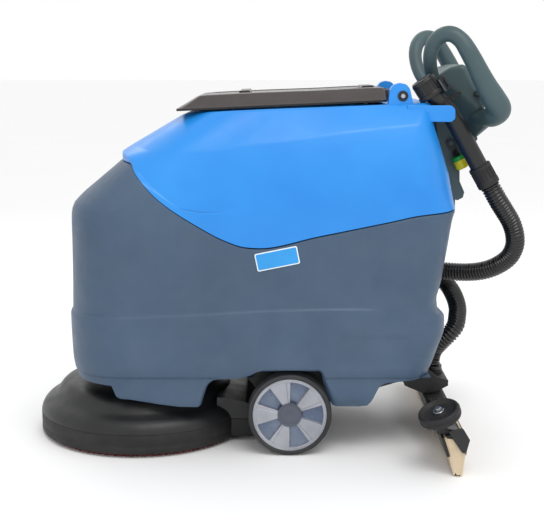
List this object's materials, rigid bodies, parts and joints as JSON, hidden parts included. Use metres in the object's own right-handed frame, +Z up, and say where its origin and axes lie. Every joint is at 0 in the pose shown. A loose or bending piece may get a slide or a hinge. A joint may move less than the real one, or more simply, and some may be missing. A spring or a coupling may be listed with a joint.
{
  "type": "walk-behind floor scrubber",
  "caption": "Walk-behind wet and dry floor scrubber: round brush deck, stacked water tanks, rear squeegee with rollers, drain hose, loop handles and hinged lid.",
  "frame": {"origin": "on the floor, below the centre of the machine's box measured without its two free hoses", "axes": "+Z up, the machine travels towards -X, the operator walks behind at +X, +Y is the right-hand side of an operator who faces -X, and the drain hose hangs on the left, at -Y"},
  "size_m": [1.2019, 0.7984, 1.0064],
  "materials": {
    "tank_grey": "satin rotomoulded polyethylene",
    "tank_blue": "satin-gloss rotomoulded polyethylene",
    "lid_smoke": "smoked, satin",
    "handle_grey": "soft matt",
    "black_plastic": "matt",
    "black_rubber": "matt",
    "tyre": "matt",
    "rim_silver": "silver paint",
    "hub_grey": "satin",
    "frame_black": "powder coat",
    "steel": "zinc plated",
    "motor_grey": "paint",
    "battery_case": "matt",
    "bristle_red": "polypropylene tufts",
    "blade_cream": "natural linatex rubber",
    "grip_yellow": "moulded",
    "button_green": "moulded",
    "button_blue": "moulded",
    "gauge_glass": "dark lens",
    "valve_green": "moulded"
  },
  "bodies": {
    "chassis": {"solution_tank": "tank_grey", "recovery_tank": "tank_blue", "battery_pack": "battery_case", "chassis_frame": "frame_black", "main_axle": "steel", "name_plate": "tank_blue", "vacuum_motor": "motor_grey", "suction_filter": "steel", "solenoid_valve": "valve_green", "charge_socket": "black_plastic", "console_stem": "handle_grey", "console_pod": "handle_grey", "handle_loops": "handle_grey", "control_panel": "black_plastic", "battery_gauge": "gauge_glass", "lid_hinge_pins": "black_plastic", "tank_fittings": "black_plastic", "drain_tube": "black_plastic", "hose_cuff": "black_rubber", "drain_hose": "black_plastic", "suction_hose": "black_plastic"},
    "left_wheel": {"left_tyre": "tyre", "left_rim": "rim_silver", "left_bearings": "steel", "left_hub_cap": "hub_grey"},
    "right_wheel": {"right_tyre": "tyre", "right_rim": "rim_silver", "right_bearings": "steel", "right_hub_cap": "hub_grey"},
    "lower_arms": {"lower_deck_arms": "frame_black"},
    "upper_arms": {"upper_deck_arms": "frame_black"},
    "deck": {"deck_cover": "black_plastic", "deck_skirt": "black_rubber", "brush_motor": "motor_grey", "deck_brackets": "frame_black"},
    "brush": {"brush_disc": "bristle_red", "brush_bristles": "bristle_red"},
    "squeegee_frame": {"squeegee_arm": "frame_black"},
    "squeegee": {"squeegee_yoke": "frame_black", "squeegee_body": "black_plastic", "front_blade": "blade_cream", "rear_blade": "blade_cream", "blade_straps": "frame_black", "suction_port": "black_plastic", "squeegee_knobs": "black_plastic"},
    "left_roller": {"left_bumper_roller": "black_rubber"},
    "right_roller": {"right_bumper_roller": "black_rubber"},
    "squeegee_hand_lever": {"squeegee_lever": "frame_black", "squeegee_grip": "grip_yellow"},
    "deck_hand_lever": {"deck_lever": "frame_black", "deck_grip": "grip_yellow"},
    "lid": {"recovery_lid": "lid_smoke", "lid_gasket": "black_rubber"},
    "hose_cap": {"drain_cap": "black_plastic"},
    "key": {"key_switch": "steel"},
    "brush_push_button": {"brush_button": "button_green"},
    "vacuum_push_button": {"vacuum_button": "button_blue"},
    "water_dial": {"water_knob": "black_plastic"},
    "thumb_bar": {"drive_bar": "black_plastic"},
    "tank_cap": {"filler_cap": "black_plastic"}
  },
  "joints": [
    {"name": "left_wheel_spin", "type": "hinge", "parent": "chassis", "child": "left_wheel", "pos_m": [0.06, -0.2225, 0.1], "axis": [0, 1, 0], "continuous": true},
    {"name": "right_wheel_spin", "type": "hinge", "parent": "chassis", "child": "right_wheel", "pos_m": [0.06, 0.2225, 0.1], "axis": [0, 1, 0], "continuous": true},
    {"name": "deck_lift", "type": "hinge", "parent": "chassis", "child": "lower_arms", "pos_m": [-0.03, 0, 0.175], "axis": [0, 1, 0], "range_deg": [0, 9.73]},
    {"name": "upper_arm_lift", "type": "hinge", "parent": "chassis", "child": "upper_arms", "pos_m": [-0.03, 0, 0.207], "axis": [0, 1, 0], "range_deg": [0, 10.23]},
    {"name": "deck_level", "type": "hinge", "parent": "lower_arms", "child": "deck", "pos_m": [-0.218, 0, 0.159], "axis": [0, 1, 0], "range_deg": [-10.23, 0]},
    {"name": "brush_spin", "type": "hinge", "parent": "deck", "child": "brush", "pos_m": [-0.308, 0, 0.05], "axis": [0, 0, 1], "continuous": true},
    {"name": "deck_lever_pull", "type": "hinge", "parent": "chassis", "child": "deck_hand_lever", "pos_m": [0.447, 0.098, 0.733], "axis": [0, -1, 0], "range_deg": [0, 40]},
    {"name": "squeegee_lift", "type": "hinge", "parent": "chassis", "child": "squeegee_frame", "pos_m": [0.34, 0, 0.172], "axis": [0, -1, 0], "range_deg": [0, 20], "deforming": ["suction_hose"]},
    {"name": "squeegee_lever_pull", "type": "hinge", "parent": "chassis", "child": "squeegee_hand_lever", "pos_m": [0.447, -0.098, 0.733], "axis": [0, -1, 0], "range_deg": [0, 40.5]},
    {"name": "squeegee_swivel", "type": "hinge", "parent": "squeegee_frame", "child": "squeegee", "pos_m": [0.428, 0, 0.12], "axis": [0, 0, 1], "range_deg": [-20, 20], "deforming": ["suction_hose"]},
    {"name": "left_roller_spin", "type": "hinge", "parent": "squeegee", "child": "left_roller", "pos_m": [0.398, -0.35, 0.139], "axis": [-0.3345, -0.2079, 0.9192], "continuous": true},
    {"name": "right_roller_spin", "type": "hinge", "parent": "squeegee", "child": "right_roller", "pos_m": [0.398, 0.35, 0.139], "axis": [-0.3345, 0.2079, 0.9192], "continuous": true},
    {"name": "lid_hinge", "type": "hinge", "parent": "chassis", "child": "lid", "pos_m": [0.321, 0, 0.847], "axis": [0, 1, 0], "range_deg": [0, 70]},
    {"name": "cap_pull", "type": "slide", "parent": "chassis", "child": "hose_cap", "axis": [-0.5548, 0, 0.832], "range_m": [0, 0.025]},
    {"name": "key_turn", "type": "hinge", "parent": "chassis", "child": "key", "pos_m": [0.50514, -0.05, 0.84973], "axis": [0.9135, 0, 0.4067], "range_deg": [0, 90]},
    {"name": "brush_button_press", "type": "slide", "parent": "chassis", "child": "brush_push_button", "axis": [-0.9135, 0, -0.4067], "range_m": [0, 0.003], "stiffness_N_per_m": 300, "springref_m": -0.002},
    {"name": "vacuum_button_press", "type": "slide", "parent": "chassis", "child": "vacuum_push_button", "axis": [-0.9135, 0, -0.4067], "range_m": [0, 0.003], "stiffness_N_per_m": 300, "springref_m": -0.002},
    {"name": "water_knob_turn", "type": "hinge", "parent": "chassis", "child": "water_dial", "pos_m": [0.50514, 0.05, 0.84973], "axis": [0.9135, 0, 0.4067], "range_deg": [-270, 0]},
    {"name": "drive_bar_press", "type": "hinge", "parent": "chassis", "child": "thumb_bar", "pos_m": [0.5, 0, 0.851], "axis": [0, 1, 0], "range_deg": [0, 12], "stiffness_Nm_per_rad": 0.6, "springref_deg": -11.46},
    {"name": "filler_cap_turn", "type": "hinge", "parent": "chassis", "child": "tank_cap", "pos_m": [0.348, 0.06, 0.5], "axis": [1, 0, 0], "range_deg": [0, 90]}
  ],
  "couplings": [
    {"joint": "upper_arm_lift", "follows": "deck_lift", "ratio": 1},
    {"joint": "deck_level", "follows": "deck_lift", "ratio": -1},
    {"joint": "deck_lever_pull", "follows": "deck_lift", "ratio": 4},
    {"joint": "squeegee_lever_pull", "follows": "squeegee_lift", "ratio": 2}
  ]
}
